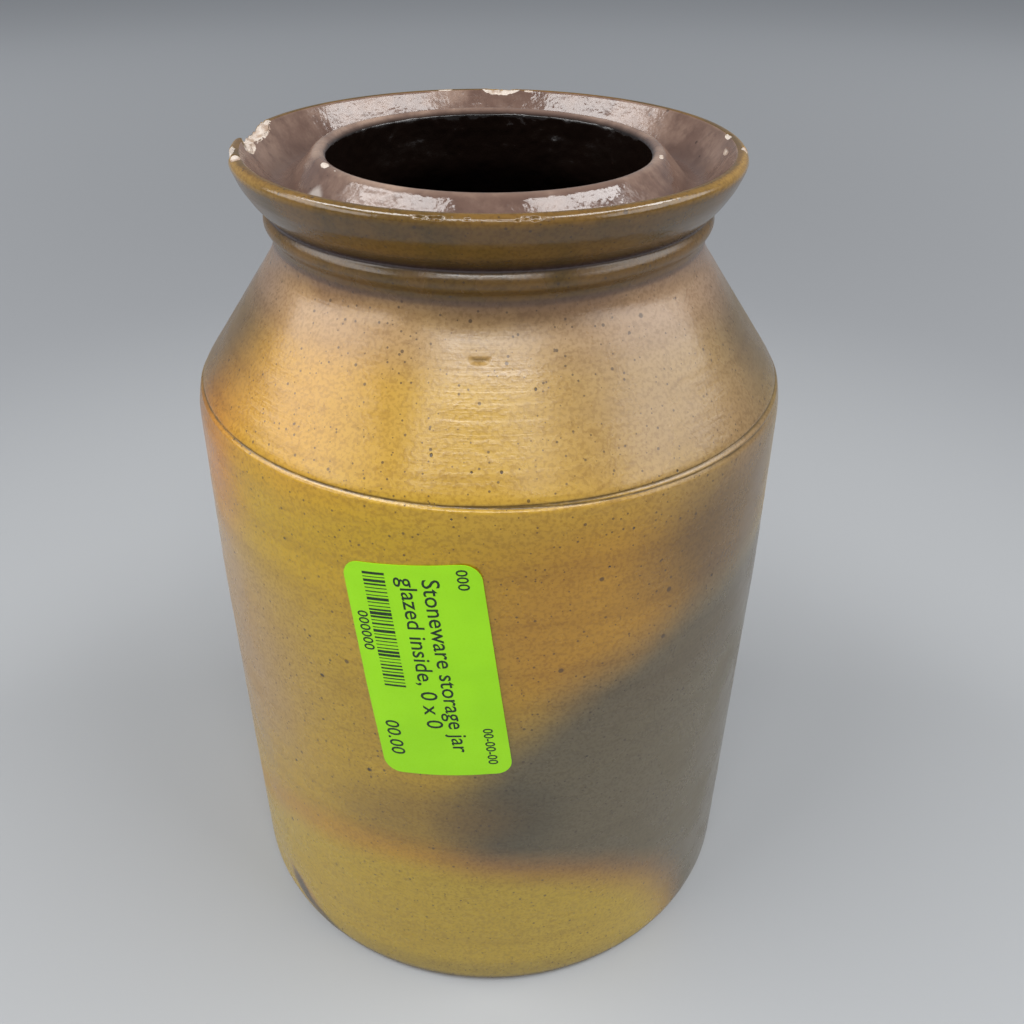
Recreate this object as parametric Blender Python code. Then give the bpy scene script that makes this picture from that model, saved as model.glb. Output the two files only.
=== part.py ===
"""Stoneware preserving jar with a wax-seal rim, a dark slip lining and a paper price label.

Metres, +Z up. The origin is the centre of the foot, on the surface that the jar stands on, and the
label faces -Y. The jar was thrown on a wheel, so its body and its lining are profiles turned about Z.
A profile is a list of (radius, height) points in millimetres, and its angles are in degrees.
"""

import math

import bmesh
import bpy

MM = 0.001

# Driving dimensions of the jar's outside.
HEIGHT = 177.8
BODY_RADIUS = 61.9
FOOT_ROUND = 1.5
WALL_BREAK = 90.0
SHOULDER_RADIUS = 61.1
SHOULDER_ROUND = 12.0
SHOULDER_LEAN = 35.0
NECK_RADIUS = 42.5
NECK_HEIGHT = 161.0
NECK_ROUND = 7.0
BEAD_RADIUS = 43.9
BEAD_HEIGHT = 165.0
BEAD_ROUND = 2.4
FLANGE_RADIUS = 43.4
FLANGE_START = 167.4
FLANGE_END_RADIUS = 47.5
FLANGE_END_HEIGHT = 173.0
LIP_RADIUS = 48.8
LIP_ROUND = 1.5

# Driving dimensions of the rim's groove, its inner ring and the inside.
RIM_EDGE_RADIUS = 46.1
RIM_EDGE_HEIGHT = 176.4
RIM_SLOPE_RADIUS = 44.3
RIM_SLOPE_HEIGHT = 174.4
GROOVE_RADIUS = 40.0
GROOVE_HEIGHT = 170.4
GROOVE_ROUND = 2.6
RING_RADIUS = 32.5
RING_HEIGHT = 176.7
RING_ROUND = 1.5
RING_LEAN = 42.0
MOUTH_BASE = 165.0
MOUTH_EASE = 0.9
WALL = 6.5
FLOOR = 8.0
FLOOR_ROUND = 10.0

# The lining and the label are skins, and each keeps a small gap to the clay behind it.
SKIN_GAP = 0.3
LINING = 0.6
LABEL_THICKNESS = 0.3
LABEL_WIDTH = 25.4
LABEL_LENGTH = 50.8
LABEL_CORNER = 3.4
LABEL_HEIGHT = 95.8
LABEL_BEARING = -10.8
LABEL_TILT = 6.9
LABEL_STRIPS = 12

SEGMENTS = 64
MERGE = 1e-7


def arc(centre, radius, start, end, steps):
    """Points from one angle to another on a circle in the profile's plane."""
    points = []
    for step in range(steps + 1):
        angle = math.radians(start + (end - start) * step / steps)
        points.append((centre[0] + radius * math.cos(angle), centre[1] + radius * math.sin(angle)))
    return points


def neck_fillet():
    """The hollow curve that turns the shoulder's cone up into the neck."""
    centre = (NECK_RADIUS + NECK_ROUND, NECK_HEIGHT)
    return arc(centre, NECK_ROUND, 180 + SHOULDER_LEAN, 180, 3)


def shoulder_centre():
    """The centre of the shoulder's arc, which meets both the wall and the cone without a corner."""
    lean = math.radians(SHOULDER_LEAN)
    cone_radius, cone_height = neck_fillet()[0]
    radius = SHOULDER_RADIUS - SHOULDER_ROUND
    run = radius + SHOULDER_ROUND * math.cos(lean) - cone_radius
    return radius, cone_height - run / math.tan(lean) - SHOULDER_ROUND * math.sin(lean)


def outer_profile():
    """The clay's outside, from the centre of the foot to the top of the lip."""
    foot = arc((BODY_RADIUS - FOOT_ROUND, FOOT_ROUND), FOOT_ROUND, -90, 0, 3)
    wall = [(BODY_RADIUS, WALL_BREAK)]
    shoulder = arc(shoulder_centre(), SHOULDER_ROUND, 0, SHOULDER_LEAN, 4)
    bead = arc((BEAD_RADIUS - BEAD_ROUND, BEAD_HEIGHT), BEAD_ROUND, -60, 60, 4)
    flange = [(FLANGE_RADIUS, FLANGE_START), (FLANGE_END_RADIUS, FLANGE_END_HEIGHT)]
    lip = arc((LIP_RADIUS - LIP_ROUND, HEIGHT - LIP_ROUND), LIP_ROUND, -20, 120, 6)
    return [(0.0, 0.0)] + foot + wall + shoulder + neck_fillet() + bead + flange + lip


def lining_profile():
    """The lining's glazed face: down into the groove, over the inner ring, down the wall to the floor."""
    rim = [(RIM_EDGE_RADIUS, RIM_EDGE_HEIGHT), (RIM_SLOPE_RADIUS, RIM_SLOPE_HEIGHT)]
    groove = arc((GROOVE_RADIUS, GROOVE_HEIGHT + GROOVE_ROUND), GROOVE_ROUND, -37, RING_LEAN - 180, 4)
    ring = arc((RING_RADIUS, RING_HEIGHT - RING_ROUND), RING_ROUND, RING_LEAN, 180, 5)
    shoulder = arc(shoulder_centre(), SHOULDER_ROUND - WALL, SHOULDER_LEAN, 0, 3)
    mouth_radius = RING_RADIUS - RING_ROUND
    throat_radius = mouth_radius + MOUTH_EASE
    throat_rise = (shoulder[0][0] - throat_radius) / math.tan(math.radians(SHOULDER_LEAN))
    mouth = [(mouth_radius, MOUTH_BASE), (throat_radius, shoulder[0][1] + throat_rise)]
    floor = arc((BODY_RADIUS - WALL - FLOOR_ROUND, FLOOR + FLOOR_ROUND), FLOOR_ROUND, 0, -90, 4)
    return rim + groove + ring + mouth + shoulder + floor + [(0.0, FLOOR)]


def sunk(profile, depth):
    """The profile moved into the clay, which lies on its left as it runs from the rim to the floor."""
    moved = []
    last = len(profile) - 1
    for index, (radius, height) in enumerate(profile):
        before = profile[max(index - 1, 0)]
        after = profile[min(index + 1, last)]
        run, rise = after[0] - before[0], after[1] - before[1]
        length = math.hypot(run, rise)
        moved.append((radius - depth * rise / length, height + depth * run / length))
    moved[last] = (0.0, profile[last][1] - depth)
    return moved


def new_object(name, bm, material, parent):
    """A smooth-shaded object with outward faces, made from a bmesh in metres."""
    bmesh.ops.recalc_face_normals(bm, faces=bm.faces)
    mesh = bpy.data.meshes.new(name)
    bm.to_mesh(mesh)
    bm.free()
    mesh.shade_smooth()
    mesh.set_sharp_from_angle(angle=math.radians(40))
    mesh.materials.append(material)
    piece = bpy.data.objects.new(name, mesh)
    piece.parent = parent
    bpy.context.scene.collection.objects.link(piece)
    return piece


def turned(name, profile, material, parent):
    """A solid turned about Z from a profile that starts and ends on the axis."""
    bm = bmesh.new()
    points = [bm.verts.new((radius * MM, 0.0, height * MM)) for radius, height in profile]
    for first, second in zip(points, points[1:]):
        bm.edges.new((first, second))
    bmesh.ops.spin(
        bm,
        geom=bm.verts[:] + bm.edges[:],
        cent=(0.0, 0.0, 0.0),
        axis=(0.0, 0.0, 1.0),
        angle=math.tau,
        steps=SEGMENTS,
        use_merge=True,
    )
    bmesh.ops.remove_doubles(bm, verts=bm.verts, dist=MERGE)
    return new_object(name, bm, material, parent)


def label_outline():
    """A rounded rectangle about the label's middle, turned by the tilt it was stuck on with."""
    across = LABEL_WIDTH / 2 - LABEL_CORNER
    along = LABEL_LENGTH / 2 - LABEL_CORNER
    tilt = math.radians(LABEL_TILT)
    points = []
    for quarter, (side, end) in enumerate([(1, 1), (-1, 1), (-1, -1), (1, -1)]):
        corner = arc((side * across, end * along), LABEL_CORNER, quarter * 90, quarter * 90 + 90, 3)
        points.extend(corner)
    return [
        (x * math.cos(tilt) - z * math.sin(tilt), x * math.sin(tilt) + z * math.cos(tilt))
        for x, z in points
    ]


def curved_label(name, material, parent):
    """A thin plate cut into upright strips and then wrapped round the jar's wall."""
    outline = label_outline()
    bm = bmesh.new()
    face = bm.faces.new([bm.verts.new((x, 0.0, z)) for x, z in outline])
    raised = bmesh.ops.extrude_face_region(bm, geom=[face])["geom"]
    for item in raised:
        if isinstance(item, bmesh.types.BMVert):
            item.co.y = LABEL_THICKNESS
    half = max(x for x, z in outline)
    for strip in range(1, LABEL_STRIPS):
        cut = half * (2 * strip / LABEL_STRIPS - 1)
        whole = bm.verts[:] + bm.edges[:] + bm.faces[:]
        bmesh.ops.bisect_plane(bm, geom=whole, plane_co=(cut, 0.0, 0.0), plane_no=(1.0, 0.0, 0.0))
    back = BODY_RADIUS + SKIN_GAP
    for vert in bm.verts:
        angle = vert.co.x / back
        radius = back + vert.co.y
        vert.co = (radius * math.sin(angle) * MM, -radius * math.cos(angle) * MM, vert.co.z * MM)
    label = new_object(name, bm, material, parent)
    label.location = (0.0, 0.0, LABEL_HEIGHT * MM)
    label.rotation_euler = (0.0, 0.0, math.radians(LABEL_BEARING))
    return label


def finish(name, colour, roughness):
    """A Principled material in one colour."""
    material = bpy.data.materials.new(name)
    material.use_nodes = True
    shader = material.node_tree.nodes["Principled BSDF"]
    shader.inputs["Base Color"].default_value = (*colour, 1.0)
    shader.inputs["Roughness"].default_value = roughness
    shader.inputs["Metallic"].default_value = 0.0
    material.diffuse_color = (*colour, 1.0)
    return material


def main():
    """Build the jar, its lining and its label under one empty."""
    for item in list(bpy.data.objects):
        bpy.data.objects.remove(item)
    frame = bpy.data.objects.new("jar_frame", None)
    bpy.context.scene.collection.objects.link(frame)

    stoneware = finish("salt_glazed_stoneware", (0.43, 0.26, 0.08), 0.35)
    slip = finish("dark_slip_glaze", (0.12, 0.07, 0.06), 0.2)
    paper = finish("fluorescent_paper", (0.38, 0.75, 0.02), 0.7)

    lining = lining_profile()
    clay_inside = sunk(lining, SKIN_GAP + LINING)
    turned("jar_body", outer_profile() + clay_inside, stoneware, frame)
    turned("slip_lining", sunk(lining, LINING)[::-1] + lining, slip, frame)
    curved_label("price_label", paper, frame)


main()
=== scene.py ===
import math
import random

import bmesh
import bpy
import numpy as np
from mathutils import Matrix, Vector, noise
from mathutils.bvhtree import BVHTree


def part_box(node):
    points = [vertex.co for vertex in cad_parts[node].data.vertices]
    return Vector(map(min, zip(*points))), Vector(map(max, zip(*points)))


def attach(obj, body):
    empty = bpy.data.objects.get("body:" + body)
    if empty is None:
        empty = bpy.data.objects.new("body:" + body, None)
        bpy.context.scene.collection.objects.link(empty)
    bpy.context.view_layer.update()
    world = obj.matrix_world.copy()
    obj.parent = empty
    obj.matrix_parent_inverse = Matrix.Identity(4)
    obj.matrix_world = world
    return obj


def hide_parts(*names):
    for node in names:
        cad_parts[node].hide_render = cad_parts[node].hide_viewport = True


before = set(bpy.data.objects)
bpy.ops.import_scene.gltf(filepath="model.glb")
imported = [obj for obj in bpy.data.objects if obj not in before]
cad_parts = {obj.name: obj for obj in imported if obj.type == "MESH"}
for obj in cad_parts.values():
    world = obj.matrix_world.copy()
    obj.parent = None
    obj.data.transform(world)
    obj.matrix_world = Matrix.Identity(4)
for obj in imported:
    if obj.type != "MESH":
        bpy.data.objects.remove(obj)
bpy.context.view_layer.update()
mm = 0.001

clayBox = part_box("jar_body")
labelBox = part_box("price_label")
jarHeight = clayBox[1][2] / mm
jarRadius = clayBox[1][0] / mm
print("frame loaded, jar", round(jarHeight, 1), "mm tall and", round(2 * jarRadius, 1), "mm wide")


def plug(tree, source, target):
    # a plain value is set on the socket, anything else is linked to it
    if isinstance(source, (int, float, tuple, str)):
        target.default_value = source
    else:
        tree.links.new(source, target)


def addNode(tree, kind, inputs=None, **settings):
    # the inputs go by name in a dictionary, or by order in a list
    node = tree.nodes.new(kind)
    for name, value in settings.items():
        setattr(node, name, value)
    named = inputs.items() if isinstance(inputs, dict) else enumerate(inputs or [])
    for key, value in named:
        plug(tree, value, node.inputs[key])
    return node


def calc(tree, operation, *values, clamp=False):
    return addNode(tree, "ShaderNodeMath", values, operation=operation, use_clamp=clamp).outputs[0]


def plus(tree, first, *others):
    for other in others:
        first = calc(tree, "ADD", first, other)
    return first


def times(tree, first, *others):
    for other in others:
        first = calc(tree, "MULTIPLY", first, other)
    return first


def minus(tree, first, second):
    return calc(tree, "SUBTRACT", first, second)


def ramp(tree, value, low, high, outLow=0.0, outHigh=1.0):
    values = (value, low, high, outLow, outHigh)
    return addNode(tree, "ShaderNodeMapRange", values, interpolation_type="SMOOTHSTEP").outputs[0]


def joinXyz(tree, *values):
    return addNode(tree, "ShaderNodeCombineXYZ", values).outputs[0]


def splitXyz(tree, vector):
    return addNode(tree, "ShaderNodeSeparateXYZ", [vector]).outputs


def grain(tree, vector, scale, detail=2.0, roughness=0.5, stretch=None):
    if stretch:
        vector = addNode(tree, "ShaderNodeMapping", {"Scale": stretch, "Vector": vector}).outputs[0]
    node = addNode(tree, "ShaderNodeTexNoise", {
        "Vector": vector, "Scale": scale, "Detail": detail, "Roughness": roughness})
    return node.outputs["Fac"]


def shade(red, green, blue):
    # a colour as the eye reads it, 0 to 255, turned into the light values that a shader takes
    def light(value):
        value = value / 255
        return value / 12.92 if value <= 0.04045 else ((value + 0.055) / 1.055) ** 2.4
    return (light(red), light(green), light(blue), 1.0)


def blendColour(tree, mask, under, over, mode="MIX"):
    sockets = {"Factor": mask, "A": under, "B": over}
    return addNode(tree, "ShaderNodeMix", sockets, data_type="RGBA", blend_type=mode).outputs["Result"]


def paintOver(tree, colour, *layers):
    # each layer is a mask and the colour that shows where the mask is one
    for mask, tint in layers:
        colour = blendColour(tree, mask, colour, tint)
    return colour


def darken(tree, mask, colour, tint):
    return blendColour(tree, mask, colour, blendColour(tree, 1.0, colour, tint, "MULTIPLY"))


def newGroup(name, inputs, outputs, kind="ShaderNodeTree"):
    tree = bpy.data.node_groups.new(name, kind)
    for title, data, value in inputs:
        socket = tree.interface.new_socket(title, in_out="INPUT", socket_type="NodeSocket" + data)
        if value is not None:
            socket.default_value = value
    for title, data in outputs:
        tree.interface.new_socket(title, in_out="OUTPUT", socket_type="NodeSocket" + data)
    return tree, tree.nodes.new("NodeGroupInput").outputs, tree.nodes.new("NodeGroupOutput").inputs


def useGroup(tree, group, values):
    return addNode(tree, "ShaderNodeGroup", values, node_tree=group).outputs


def finishTree(tree, geometry, entry, result):
    real = addNode(tree, "GeometryNodeRealizeInstances", {"Geometry": geometry})
    paint = addNode(tree, "GeometryNodeSetMaterial", {
        "Geometry": real.outputs[0], "Material": entry["Finish"]})
    plug(tree, paint.outputs[0], result["Geometry"])


def newMaterial(name):
    material = bpy.data.materials.new(name)
    material.use_nodes = True
    tree = material.node_tree
    shader = tree.nodes["Principled BSDF"]
    where = addNode(tree, "ShaderNodeTexCoord").outputs["Object"]
    return material, tree, shader, where


def raiseSurface(tree, shader, relief):
    # the relief is in mm
    bump = addNode(tree, "ShaderNodeBump", {"Strength": 1.0, "Distance": mm, "Height": relief})
    plug(tree, bump.outputs[0], shader.inputs["Normal"])


def addObject(name, data):
    piece = bpy.data.objects.new(name, data)
    bpy.context.scene.collection.objects.link(piece)
    return piece


def meshFrom(name, bm):
    mesh = bpy.data.meshes.new(name)
    bm.to_mesh(mesh)
    bm.free()
    return mesh


# lengths in mm and angles in degrees
camera = {
    "height": 223.7, "distance": 197.9, "pitch": 33.57, "yaw": 0.35,
    "lens": 35.15, "sensor": 36.0, "shift": 0.0169,
}

studio = {
    "floorSize": 7.0,
    # the three floor tones and the distances where they fade are painted light and shade: darker in a ring
    # round the jar, paler far out
    "floorNear": shade(158, 160, 162),
    "floorMiddle": shade(145, 147, 150),
    "floorFar": shade(200, 203, 206),
    "middleFade": (0.20, 0.42),
    "farFade": (0.38, 1.5),
    "floorRoughness": 0.55,
    "skyColour": shade(205, 209, 216),
    "skyStrength": 0.38,
    # lamps as (name, place, target, width, height, turn in degrees, watts)
    "lamps": [
        ("windowLeft", (-0.80, -0.23, 0.56), (0.0, -0.23, 0.56), 0.95, 0.42, 0, 3.5),
        ("windowRight", (0.80, -0.23, 0.56), (0.0, -0.23, 0.56), 0.95, 0.42, 0, 3.2),
        ("stripLeft", (-0.74, -0.04, 1.12), (-0.74, -0.04, 0.0), 1.05, 0.30, -46, 10.0),
        ("stripRight", (0.74, -0.04, 1.12), (0.74, -0.04, 0.0), 1.05, 0.30, 46, 10.0),
        ("softbox", (0.0, -0.80, 1.08), (0.0, 0.0, 0.1), 0.8, 0.24, 0, 5.5),
        ("glintLeft", (-0.40, -0.76, 0.80), (0.0, 0.0, 0.14), 0.10, 0.05, 0, 0.25),
        ("glintRight", (0.30, -0.86, 0.74), (0.0, 0.0, 0.14), 0.12, 0.06, 0, 0.25),
    ],
}


def makeCamera():
    data = bpy.data.cameras.new("camera")
    data.lens = camera["lens"]
    data.sensor_width = camera["sensor"]
    data.shift_x = camera["shift"]
    data.clip_start = 0.01
    eye = addObject("camera", data)
    eye.location = (0.0, -camera["distance"] * mm, camera["height"] * mm)
    eye.rotation_euler = (math.radians(90 - camera["pitch"]), 0.0, math.radians(-camera["yaw"]))
    bpy.context.scene.camera = eye


def areaLight(name, place, target, width, height, turn, power):
    data = bpy.data.lights.new(name, "AREA")
    data.shape = "RECTANGLE"
    data.size = width
    data.size_y = height
    data.energy = power
    lamp = addObject(name, data)
    lamp.location = place
    lamp.rotation_euler = (Vector(target) - Vector(place)).to_track_quat("-Z", "Y").to_euler()
    lamp.rotation_euler.z += math.radians(turn)


def makeStudio():
    bm = bmesh.new()
    bmesh.ops.create_grid(bm, x_segments=1, y_segments=1, size=studio["floorSize"] / 2)
    mesh = meshFrom("floor", bm)
    floor = addObject("floor", mesh)
    material, tree, shader, where = newMaterial("paleFloor")
    # painted light and shade: the floor's tone changes with distance from the middle of the stage
    away = addNode(tree, "ShaderNodeVectorMath", [where], operation="LENGTH").outputs["Value"]
    tone = blendColour(tree, ramp(tree, away, *studio["middleFade"]), studio["floorNear"],
                       studio["floorMiddle"])
    tone = blendColour(tree, ramp(tree, away, *studio["farFade"]), tone, studio["floorFar"])
    plug(tree, tone, shader.inputs["Base Color"])
    shader.inputs["Roughness"].default_value = studio["floorRoughness"]
    mesh.materials.append(material)

    world = bpy.data.worlds.new("studioSky")
    world.use_nodes = True
    background = world.node_tree.nodes["Background"]
    background.inputs["Color"].default_value = studio["skyColour"]
    background.inputs["Strength"].default_value = studio["skyStrength"]
    bpy.context.scene.world = world

    for lamp in studio["lamps"]:
        areaLight(*lamp)
    bpy.context.scene.view_settings.view_transform = "Standard"


makeCamera()
makeStudio()
print("camera and studio ready")


# the potter's profile in millimetres, each point as (radius, height)
jarShape = {
    "footRound": 1.5,
    "wallBreak": 90.0,
    "shoulderRadius": jarRadius - 0.8,
    "shoulderRound": 12.0,
    "shoulderLean": 35.0,
    "neckRadius": 42.5,
    "neckHeight": 161.0,
    "neckRound": 7.0,
    "beadRadius": 43.9,
    "beadHeight": 165.0,
    "beadRound": 2.3,
    "flangeStart": (43.3, 167.4),
    "flangeBelly": (45.75, 170.0),
    "flangeEnd": (47.6, 173.0),
    "lipRadius": 48.8,
    "lipRound": 1.5,
    "rimSlope": (44.3, 174.4),
    "grooveCentre": (40.0, 173.0),
    "grooveRound": 2.6,
    "ringCentre": (32.5, 175.2),
    "ringRound": 1.5,
    "ringLean": 42.0,
    "mouthBase": 165.0,
    "mouthEase": 0.9,
    "wall": 6.5,
    "floor": 8.0,
    "floorRound": 10.0,
    "glazeDepth": 0.6,
    "skinGap": 0.25,
}


def arc(centre, radius, start, end, steps):
    turns = [math.radians(start + (end - start) * step / steps) for step in range(steps + 1)]
    return [(centre[0] + radius * math.cos(turn), centre[1] + radius * math.sin(turn)) for turn in turns]


def neckFillet():
    s = jarShape
    centre = (s["neckRadius"] + s["neckRound"], s["neckHeight"])
    return arc(centre, s["neckRound"], 180 + s["shoulderLean"], 180, 12)


def shoulderCentre():
    # the arc has to meet both the wall and the cone without a corner
    s = jarShape
    lean = math.radians(s["shoulderLean"])
    coneRadius, coneHeight = neckFillet()[0]
    radius = s["shoulderRadius"] - s["shoulderRound"]
    run = radius + s["shoulderRound"] * math.cos(lean) - coneRadius
    return radius, coneHeight - run / math.tan(lean) - s["shoulderRound"] * math.sin(lean)


def outsideCurve():
    s = jarShape
    foot = arc((jarRadius - s["footRound"], s["footRound"]), s["footRound"], -90, 0, 10)
    wall = [(jarRadius, s["wallBreak"])]
    shoulder = arc(shoulderCentre(), s["shoulderRound"], 0, s["shoulderLean"], 16)
    bead = arc((s["beadRadius"] - s["beadRound"], s["beadHeight"]), s["beadRound"], -58, 58, 12)
    flange = [s["flangeStart"], s["flangeBelly"], s["flangeEnd"]]
    lip = arc((s["lipRadius"] - s["lipRound"], jarHeight - s["lipRound"]), s["lipRound"], -20, 118, 18)
    return foot + wall + shoulder + neckFillet() + bead + flange + lip


def insideCurve():
    s = jarShape
    groove = arc(s["grooveCentre"], s["grooveRound"], -37, s["ringLean"] - 180, 12)
    ring = arc(s["ringCentre"], s["ringRound"], s["ringLean"], 180, 14)
    inner = arc(shoulderCentre(), s["shoulderRound"] - s["wall"], s["shoulderLean"], 0, 8)
    throat = s["ringCentre"][0] - s["ringRound"] + s["mouthEase"]
    rise = (inner[0][0] - throat) / math.tan(math.radians(s["shoulderLean"]))
    mouth = [(throat - s["mouthEase"], s["mouthBase"]), (throat, inner[0][1] + rise)]
    corner = jarRadius - s["wall"] - s["floorRound"]
    floor = arc((corner, s["floor"] + s["floorRound"]), s["floorRound"], 0, -90, 10)
    return [s["rimSlope"]] + groove + ring + mouth + inner + floor + [(0.0, s["floor"])]


def even(points, spacingAt):
    # walk along the outline and leave a point each time the local spacing is used up
    out = [points[0]]
    need = spacingAt(*points[0])
    for (r0, z0), (r1, z1) in zip(points, points[1:]):
        length = math.hypot(r1 - r0, z1 - z0)
        used = 0.0
        while length - used >= need:
            used += need
            r, z = r0 + (r1 - r0) * used / length, z0 + (z1 - z0) * used / length
            out.append((r, z))
            need = spacingAt(r, z)
        need -= length - used
    out.append(points[-1])
    return out


def soften(points, rounds):
    array = np.array(points)
    for _ in range(rounds):
        array[1:-1] = 0.5 * array[1:-1] + 0.25 * (array[:-2] + array[2:])
    return [tuple(row) for row in array]


def sunk(points, depths):
    # move each point into the clay, which lies on the left of a line that runs from the rim to the floor
    array = np.array(points)
    run = np.gradient(array, axis=0)
    run /= np.linalg.norm(run, axis=1)[:, None]
    moved = array + np.column_stack((-run[:, 1], run[:, 0])) * np.asarray(depths)[:, None]
    return [(max(float(r), 0.0), float(z)) for r, z in moved]


def clayOutsideSpacing(r, z):
    if z > 160.0:
        return 0.42
    if 131.6 < z < 134.4:
        return 0.13
    if z < 2.5 or z > 126.0:
        return 0.9
    return 1.7


def rimSpacing(r, z):
    if z > 168.0:
        return 0.42
    if z > 160.0:
        return 1.2
    return 4.0


def makeProfiles():
    outside = even(outsideCurve(), clayOutsideSpacing)
    outside = [outside[0]] + soften(outside[1:], 2)
    seam = outside[-1]
    inside = even([seam] + insideCurve(), rimSpacing)
    inside = soften(inside, 2)
    inside[-1] = (0.0, jarShape["floor"])
    along = np.array([math.hypot(b[0] - a[0], b[1] - a[1]) for a, b in zip(inside, inside[1:])])
    travel = np.concatenate(([0.0], np.cumsum(along)))
    taper = np.clip(travel / 2.4, 0.0, 1.0)
    taper = taper * taper * (3 - 2 * taper)
    glaze = jarShape["glazeDepth"]
    clayInside = sunk(inside, taper * (glaze + jarShape["skinGap"]))
    backFace = sunk(inside, taper * (glaze - 0.03) + 0.03)
    face = sunk(inside, -0.02 * np.minimum(travel / 0.6, 1.0))
    clayInside[-1] = (0.0, jarShape["floor"] - glaze - jarShape["skinGap"])
    backFace[-1] = (0.0, jarShape["floor"] - glaze)
    face[-1] = (0.0, jarShape["floor"])
    clay = [(0.0, 0.0)] + even([(4.0, 0.0), outside[0]], lambda r, z: 7.0) + outside[1:] + clayInside[1:]
    slip = backFace[::-1] + face
    return clay, [2.0] * len(clay), slip, [1.0] * len(backFace) + [0.0] * len(face)


def profileMesh(name, points, layers):
    # the strip that goes on the wheel: how much the potter's hand shows, and how deep each point lies
    mesh = bpy.data.meshes.new(name)
    edges = [(i, i + 1) for i in range(len(points) - 1)]
    mesh.from_pydata([(r * mm, 0.0, z * mm) for r, z in points], edges, [])
    marks = mesh.attributes.new("handMarks", "FLOAT", "POINT")
    for i, (r, z) in enumerate(points):
        marks.data[i].value = min(1.0, r / 30.0) * min(1.0, max(0.0, (z - 1.0) / 8.0))
    depth = mesh.attributes.new("layer", "FLOAT", "POINT")
    depth.data.foreach_set("value", layers)
    return mesh


wheel = {
    "segments": 384, "ringDepth": 0.16, "ringPitch": 1.9, "wobble": 0.5, "rimLean": 0.0045, "seed": 7,
    "weld": 0.002,
}


def wheelTree():
    tree, entry, result = newGroup("potterWheel", [
        ("Geometry", "Geometry", None),
        ("Segments", "Int", 96),
        *((title, "Float", 0.0) for title in ("Ring Depth", "Ring Pitch", "Wobble", "Rim Lean", "Seed")),
        ("Finish", "Material", None),
    ], [("Geometry", "Geometry")], "GeometryNodeTree")
    size = addNode(tree, "GeometryNodeAttributeDomainSize", [entry["Geometry"]], component="MESH")
    count = size.outputs["Point Count"]
    grid = addNode(tree, "GeometryNodeMeshGrid", {
        "Vertices X": plus(tree, entry["Segments"], 1.0), "Vertices Y": count})
    index = addNode(tree, "GeometryNodeInputIndex").outputs[0]
    column = calc(tree, "FLOOR", calc(tree, "DIVIDE", plus(tree, index, 0.5), count))
    row = minus(tree, index, times(tree, column, count))

    def fromStrip(field, kind="FLOAT"):
        sockets = {"Geometry": entry["Geometry"], "Value": field, "Index": row}
        sample = addNode(tree, "GeometryNodeSampleIndex", sockets, data_type=kind, domain="POINT")
        return sample.outputs[0]

    def stored(title):
        named = addNode(tree, "GeometryNodeInputNamedAttribute", {"Name": title}, data_type="FLOAT")
        return fromStrip(named.outputs["Attribute"])

    position = addNode(tree, "GeometryNodeInputPosition").outputs[0]
    radius, _, height = splitXyz(tree, fromStrip(position, "FLOAT_VECTOR"))
    turn = times(tree, calc(tree, "DIVIDE", column, entry["Segments"]), math.tau)
    sine, cosine = calc(tree, "SINE", turn), calc(tree, "COSINE", turn)

    def noiseAt(around, up, detail):
        spot = joinXyz(tree, times(tree, sine, around), times(tree, cosine, around),
                       plus(tree, times(tree, height, up), entry["Seed"]))
        return minus(tree, grain(tree, spot, 1.0, detail), 0.5)

    rings = noiseAt(0.35, calc(tree, "DIVIDE", 1.0, entry["Ring Pitch"]), 2.0)
    sway = noiseAt(0.9, 9.0, 1.0)
    marks = plus(tree, times(tree, rings, entry["Ring Depth"]), times(tree, sway, entry["Wobble"]))
    moved = plus(tree, radius, times(tree, stored("handMarks"), marks))
    rimPart = ramp(tree, height, 0.150, 0.178)
    x = times(tree, moved, sine)
    y = times(tree, moved, times(tree, cosine, -1.0))
    tip = times(tree, x, entry["Rim Lean"], rimPart)
    keep = addNode(tree, "GeometryNodeStoreNamedAttribute", {
        "Name": "layer", "Geometry": grid.outputs["Mesh"], "Value": stored("layer")},
        data_type="FLOAT", domain="POINT")
    shape = addNode(tree, "GeometryNodeSetPosition", {
        "Geometry": keep.outputs["Geometry"], "Position": joinXyz(tree, x, y, minus(tree, height, tip))})
    weld = addNode(tree, "GeometryNodeMergeByDistance", {
        "Geometry": shape.outputs[0], "Distance": wheel["weld"] * mm})
    smooth = addNode(tree, "GeometryNodeSetShadeSmooth", {"Geometry": weld.outputs[0]})
    finishTree(tree, smooth.outputs[0], entry, result)
    return tree


def runNodes(name, mesh, tree, settings):
    # set the inputs by their identifiers, evaluate once and keep a plain mesh
    holder = addObject(name + "Source", mesh)
    modifier = holder.modifiers.new("nodes", "NODES")
    modifier.node_group = tree
    keys = {item.name: item.identifier for item in tree.interface.items_tree if item.in_out == "INPUT"}
    for title, value in settings.items():
        modifier[keys[title]] = value
    graph = bpy.context.evaluated_depsgraph_get()
    made = bpy.data.meshes.new_from_object(holder.evaluated_get(graph))
    made.name = name
    bpy.data.objects.remove(holder)
    return made


def outwards(mesh):
    bm = bmesh.new()
    bm.from_mesh(mesh)
    bmesh.ops.remove_doubles(bm, verts=bm.verts, dist=wheel["weld"] * mm)
    bmesh.ops.dissolve_degenerate(bm, edges=bm.edges, dist=wheel["weld"] * mm / 4)
    bmesh.ops.recalc_face_normals(bm, faces=bm.faces)
    if bm.calc_volume(signed=True) < 0:
        bmesh.ops.reverse_faces(bm, faces=bm.faces)
    bm.to_mesh(mesh)
    bm.free()
    mesh.shade_smooth()


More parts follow.
